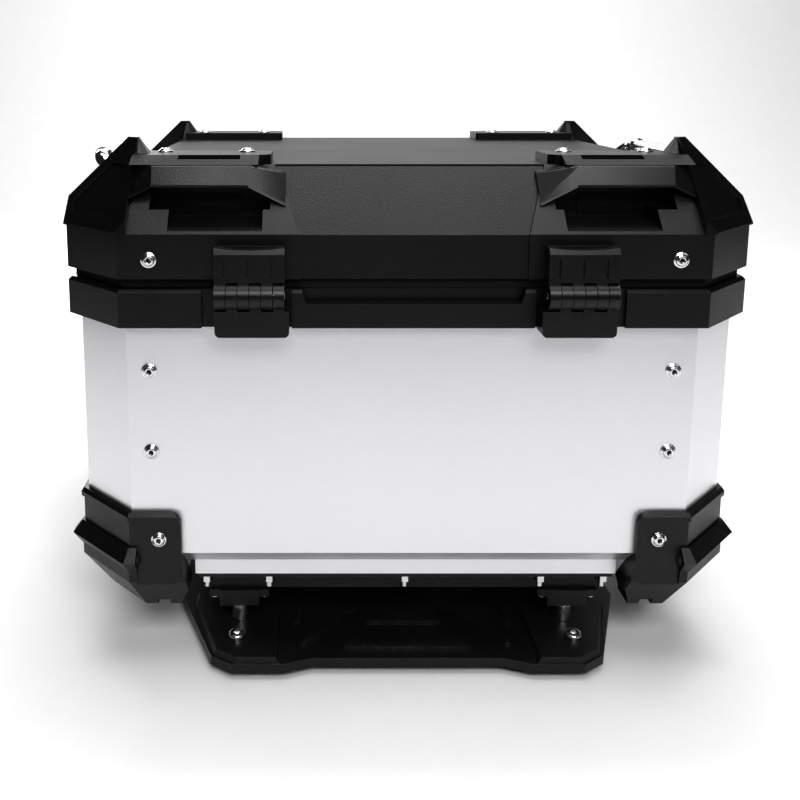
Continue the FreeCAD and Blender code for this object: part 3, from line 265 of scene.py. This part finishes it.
def round_edges(obj, width):
    """Joins the split vertices, clears the flat triangles and rounds what is left sharp."""
    weld = obj.modifiers.new("weld", "WELD")
    weld.merge_threshold = WELD_GAP
    flat = obj.modifiers.new("flat", "DECIMATE")
    flat.decimate_type = "DISSOLVE"
    flat.angle_limit = FLAT_ANGLE
    bevel = obj.modifiers.new("bevel", "BEVEL")
    bevel.width = width
    bevel.segments = 3
    bevel.limit_method = "ANGLE"
    bevel.angle_limit = SHARP_ANGLE
    bevel.use_clamp_overlap = True
    bevel.miter_outer = "MITER_ARC"
    bevel.harden_normals = False
    weighted = obj.modifiers.new("normals", "WEIGHTED_NORMAL")
    weighted.keep_sharp = False
    weighted.weight = 100


def dress_frame():
    """Gives every CAD node its material and its rounded edges."""
    for name, obj in frame["nodes"].items():
        obj.data.materials.clear()
        obj.data.materials.append(MATERIALS[SLOT_OF[name]])
        round_edges(obj, EDGE_WIDTH[SLOT_OF[name]] * MM)


# ---------------------------------------------------------------- mesh building blocks
def new_object(name, verts, faces):
    """Smooth-shaded mesh object, linked into the scene."""
    mesh = bpy.data.meshes.new(name)
    mesh.from_pydata(verts, [], faces)
    mesh.validate()
    mesh.update()
    mesh.shade_smooth()
    obj = bpy.data.objects.new(name, mesh)
    bpy.context.scene.collection.objects.link(obj)
    return obj


def add_piece(name, shape, body, slot, smooth_angle=30.0):
    """Piece in the shared frame, riding on a CAD body and finished like one of its slots."""
    obj = new_object(name, *shape)
    obj.data.materials.append(MATERIALS[slot])
    obj.data.set_sharp_from_angle(angle=math.radians(smooth_angle))
    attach(obj, body)
    return obj


def loft(rings, flip=False):
    """Verts and faces of a closed solid through rings of equally many points, capped at both ends."""
    count = len(rings[0])
    last = (len(rings) - 1) * count
    faces = []
    for low in range(0, last, count):
        high = low + count
        for i in range(count):
            j = (i + 1) % count
            faces.append((low + i, low + j, high + j, high + i))
    faces.append(tuple(reversed(range(count))))
    faces.append(tuple(range(last, last + count)))
    if flip:
        faces = [tuple(reversed(face)) for face in faces]
    return [point for ring in rings for point in ring], faces


def lathe(profile, seat, axis, segments=36):
    """Turned shape: profile of (radius, height) pairs along the axis, from its seat."""
    turn = axis.to_track_quat("Z", "Y")
    angles = [2 * math.pi * i / segments for i in range(segments)]
    rings = []
    for radius, height in profile:
        rings.append([seat + turn @ Vector((radius * math.cos(a), radius * math.sin(a), height))
                      for a in angles])
    return loft(rings)


def joined(shapes):
    """Several (verts, faces) pairs as one."""
    verts, faces = [], []
    for more_verts, more_faces in shapes:
        start = len(verts)
        verts += more_verts
        faces += [tuple(start + i for i in face) for face in more_faces]
    return verts, faces


SAME_PLACE = 0.002 * MM         # grid on which the vertices of a node are matched


def islands(node):
    """Box (low corner, high corner) of each separate solid of a CAD node, in a fixed order."""
    mesh = frame["nodes"][node].data
    keys, parent = {}, []

    def root(i):
        while parent[i] != i:
            parent[i] = parent[parent[i]]
            i = parent[i]
        return i

    index = []
    for vertex in mesh.vertices:
        key = tuple(round(c / SAME_PLACE) for c in vertex.co)
        if key not in keys:
            keys[key] = len(parent)
            parent.append(keys[key])
        index.append(keys[key])
    for edge in mesh.edges:
        a, b = root(index[edge.vertices[0]]), root(index[edge.vertices[1]])
        if a != b:
            parent[a] = b
    groups = {}
    for vertex, key in zip(mesh.vertices, index):
        groups.setdefault(root(key), []).append(vertex.co)
    boxes = []
    for points in groups.values():
        low = Vector(min(p[k] for p in points) for k in range(3))
        high = Vector(max(p[k] for p in points) for k in range(3))
        boxes.append((low, high))
    return sorted(boxes, key=lambda b: tuple(round(c, 5) for c in b[0]))


# ---------------------------------------------------------------- rivets
RIVET_NODES = {
    "body_rivets": "case", "protector_rivets": "case",
    "lid_handle_rivets": "lid", "lid_band_rivets": "lid",
}
RIVET_HEAD = 2.4 * MM           # height of the CAD head over its seat
RIVET_TAIL = 1.2 * MM           # how far it stands out behind the sheets
MANDREL = ((1.3, 0.9), (1.3, 1.25), (1.0, 1.45), (0.5, 1.55))  # (radius, height), in millimetres


def rivet_seats(node):
    """(seat, outward axis, grip) of every rivet in a CAD node."""
    seats = []
    for low, high in islands(node):
        size = high - low
        flange = sorted(size)[1]    # two sides of the box are as wide as the flange
        k = max(range(3), key=lambda a: abs(size[a] - flange))
        axis = Vector((0.0, 0.0, 0.0))  # heads face up or away from the middle of the case
        axis[k] = 1.0 if k == 2 or (low + high)[k] > 0 else -1.0
        top = (low + high) / 2
        top[k] = high[k] if axis[k] > 0 else low[k]
        seats.append((top - axis * RIVET_HEAD, axis, size[k] - RIVET_HEAD - RIVET_TAIL))
    return seats


def rivet_profile(grip):
    """Set tail, shank, and a domed head on a wide flange with the hole that the mandrel left."""
    tail = [(2.4, -(grip + RIVET_TAIL) / MM), (3.0, -grip / MM - 0.8), (3.0, -grip / MM - 0.1)]
    shank = [(2.0, -grip / MM), (2.0, 0.0)]
    flange = [(4.85, 0.02), (4.9, 0.45), (4.8, 0.75), (4.55, 0.92), (3.9, 1.05)]
    dome = [(3.7, 1.25), (3.4, 1.75), (2.9, 2.2), (2.2, 2.42), (1.6, 2.4)]
    hole = [(1.35, 2.15), (1.35, 1.1)]
    return [(r * MM, z * MM) for r, z in tail + shank + flange + dome + hole]


def rivets():
    """Blind rivets with domed heads in place of the plain ones, each with its broken mandrel, finished
    black as painted shade in the hole.
    """
    mandrel = [(r * MM, z * MM) for r, z in MANDREL]
    for node, body in RIVET_NODES.items():
        heads, shaded_mandrels = [], []
        for seat, axis, grip in rivet_seats(node):
            heads.append(lathe(rivet_profile(grip), seat, axis))
            shaded_mandrels.append(lathe(mandrel, seat, axis, 20))
        head = add_piece(node + "_heads", joined(heads), body, "stainless", 50.0)
        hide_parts(node)
        # The mandrels take the black powder coat as painted shade: it darkens the rivet holes.
        add_piece(node + "_mandrels", joined(shaded_mandrels), body, "black_steel", 50.0)


# ---------------------------------------------------------------- handle pockets
ENDS = {"front": -1, "rear": 1}     # direction along y
SIDES = {"left": -1, "right": 1}    # direction along x

PAD_X = 124.5 * MM                  # middle of a pad, out from the middle of the case
PAD_WALL_Y = 142.0 * MM             # back wall of a pocket
PAD_DROP = 23.8 * MM                # middle of a pad, below the top panel
PAD_HALF = (21.0 * MM, 6.2 * MM)    # half width and half height
PAD_THICK = 1.0 * MM
PAD_CORNER = 2.0 * MM
PAD_LAYERS = ((1.0, 0.0), (1.0, 0.6), (0.985, 0.9), (0.95, 1.0))  # (share of size, of thickness)


def pad_outline():
    """Rectangle with rounded corners, as (x, z) pairs about its middle."""
    half_x, half_z = (half - PAD_CORNER for half in PAD_HALF)
    points = []
    for sx, sz, start in ((1, 1, 0), (-1, 1, 90), (-1, -1, 180), (1, -1, 270)):
        for step in range(5):
            turn = math.radians(start + 22.5 * step)
            points.append((sx * half_x + PAD_CORNER * math.cos(turn),
                           sz * half_z + PAD_CORNER * math.sin(turn)))
    return points


def pocket_pads():
    """Raised pad with a softened edge on the back wall of each finger pocket."""
    lid_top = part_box("lid_top_panel")[1].z
    for end_name, end in ENDS.items():
        for side_name, side in SIDES.items():
            centre = Vector((side * PAD_X, end * PAD_WALL_Y, lid_top - PAD_DROP))
            rings = [[centre + Vector((x * share, end * height * PAD_THICK, z * share))
                      for x, z in pad_outline()] for share, height in PAD_LAYERS]
            name = f"pocket_pad_{end_name}_{side_name}"
            add_piece(name, loft(rings, flip=end > 0), "lid", "corner_plastic")


# ---------------------------------------------------------------- handle grips
GRIP_END_X = (76.6, 171.6)          # ends in millimetres, where a grip runs out on the lid's slope
GRIP_BAR_X = (99.0, 157.0)          # the straight stretch between its ramps
GRIP_ROUNDING = 0.8 * MM
LID_SLOPE = 35.0 / 38.1             # how far the lid's slope runs out for each millimetre down
LID_SHOULDER_Y = 140.0              # where that slope starts, in millimetres from the middle
# Sections of a grip, in millimetres. On the slope: (depth below the top panel, distance out of it).
GRIP_INNER = ((3.6, 0.9), (5.5, 1.2), (20.5, 1.2), (23.2, 0.9), (23.0, -1.0), (4.0, -1.0))
GRIP_OUTER = ((1.2, 2.8), (3.0, 3.2), (17.0, 3.2), (19.3, 2.8), (19.0, 0.5), (1.5, 0.5))
# Along the bar: (distance from the middle, height over the top panel). Its face leans outwards.
GRIP_BAR = ((155.6, 1.15), (157.4, 0.1), (160.6, -10.6), (159.9, -12.2), (155.0, -12.1), (155.0, 0.9))


def grip_sections():
    """Sections (x, [(y, z), ...]) of a grip from its inner to its outer end, in millimetres."""
    def on_slope(points):
        return [(LID_SHOULDER_Y + LID_SLOPE * depth + proud, -depth) for depth, proud in points]

    return [(GRIP_END_X[0], on_slope(GRIP_INNER)), (GRIP_BAR_X[0], GRIP_BAR),
            (GRIP_BAR_X[1], GRIP_BAR), (GRIP_END_X[1], on_slope(GRIP_OUTER))]


def grips():
    """Facing over each handle bar, with the leaning front that the hand meets."""
    lid_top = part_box("lid_top_panel")[1].z
    for end_name, end in ENDS.items():
        for side_name, side in SIDES.items():
            rings = [[Vector((side * x * MM, end * y * MM, lid_top + z * MM)) for y, z in section]
                     for x, section in grip_sections()]
            name = f"handle_grip_{end_name}_{side_name}"
            grip = add_piece(name, loft(rings, flip=side * end > 0), "lid", "corner_plastic")
            round_edges(grip, GRIP_ROUNDING)


# ---------------------------------------------------------------- studio
FLOOR_X = (-1.15, 1.65)
FLOOR_Y = (-1.1, 2.2)       # front edge and wall
FLOOR_BEND = 0.9            # radius between floor and wall
WALL_TOP = 3.2


def studio_floor():
    """Pale floor that curves up into a wall behind the case."""
    front, wall = FLOOR_Y
    profile = [(front, 0.0), (wall - FLOOR_BEND, 0.0)]
    for step in range(1, 13):
        turn = math.radians(90 * step / 12)
        profile.append((wall - FLOOR_BEND * (1 - math.sin(turn)), FLOOR_BEND * (1 - math.cos(turn))))
    profile.append((wall, WALL_TOP))
    verts = [(x, y, z) for y, z in profile for x in FLOOR_X]
    faces = [(i, i + 1, i + 3, i + 2) for i in range(0, len(verts) - 2, 2)]
    floor = new_object("studio_floor", verts, faces)
    f = Finish("studio_paper", specular=0.1)
    fibres = f.noise(40.0, 3.0)
    colour = f.blend(fibres, (0.84, 0.84, 0.84), (0.87, 0.87, 0.87))
    rough = f.span(fibres, (0.3, 0.7), (0.75, 0.9))
    floor.data.materials.append(f.finish(colour, rough, f.bump(fibres, 0.05 * MM)))


# Name, place, point that it is aimed at and size in metres, and power in watts.
SOFTBOXES = (
    ("overhead", (0.15, -0.1, 1.75), (0.0, 0.0, 0.2), (1.3, 1.2), 13.0),
    ("front_top", (0.15, -1.65, 1.5), (0.0, 0.0, 0.2), (1.3, 0.7), 19.5),
    ("front_fill", (1.9, -1.6, 1.3), (0.0, 0.0, 0.1), (0.9, 0.9), 2.0),
    ("panel_rim", (-0.75, 1.5, 0.62), (-0.15, 0.0, 0.32), (0.5, 0.35), 5.0),
    ("backdrop_wash", (0.0, 0.7, 2.6), (0.0, 2.2, 0.7), (2.6, 0.8), 42.0),
)


def studio_lights():
    """Softboxes over, before and behind the case, and one that lights the wall."""
    for name, place, aim, size, power in SOFTBOXES:
        data = bpy.data.lights.new(name, "AREA")
        data.shape = "RECTANGLE"
        data.size, data.size_y = size
        data.energy = power
        light = bpy.data.objects.new(name, data)
        light.location = place
        light.rotation_euler = (Vector(aim) - Vector(place)).to_track_quat("-Z", "Y").to_euler()
        bpy.context.scene.collection.objects.link(light)


WORLD_AS_LIGHT = 0.03
WORLD_AS_BACKDROP = 0.90


def studio_world():
    """Pale to the camera, dim as a light, so that the softboxes shape the case."""
    world = bpy.data.worlds.new("studio")
    world.use_nodes = True
    nodes, links = world.node_tree.nodes, world.node_tree.links
    nodes["Background"].inputs["Color"].default_value = (0.97, 0.98, 1.0, 1.0)
    seen = nodes.new("ShaderNodeLightPath").outputs["Is Camera Ray"]
    strength = nodes.new("ShaderNodeMapRange")
    strength.inputs["To Min"].default_value = WORLD_AS_LIGHT
    strength.inputs["To Max"].default_value = WORLD_AS_BACKDROP
    links.new(seen, strength.inputs["Value"])
    links.new(strength.outputs["Result"], nodes["Background"].inputs["Strength"])
    bpy.context.scene.world = world


CAMERA_PLACE = (-63.2 * MM, -697.4 * MM, 369.6 * MM)
CAMERA_DIP = 9.0            # degrees below the horizon
CAMERA_LENS = 40.63         # focal length, in millimetres
CAMERA_SENSOR = 36.0        # in millimetres
CAMERA_SHIFT = (0.1156, -0.2173)


def camera():
    """Slightly above the rim on the hinge side, a little left of the middle."""
    data = bpy.data.cameras.new("camera")
    data.sensor_width = CAMERA_SENSOR
    data.lens = CAMERA_LENS
    data.shift_x, data.shift_y = CAMERA_SHIFT
    obj = bpy.data.objects.new("camera", data)
    obj.location = CAMERA_PLACE
    obj.rotation_euler = Euler((math.radians(90 - CAMERA_DIP), 0.0, 0.0))
    bpy.context.scene.collection.objects.link(obj)
    bpy.context.scene.camera = obj


dress_frame()
rivets()
pocket_pads()
grips()
studio_floor()
studio_lights()
studio_world()
camera()
bpy.context.scene.view_settings.view_transform = "Standard"
bpy.context.scene.view_settings.look = "High Contrast"
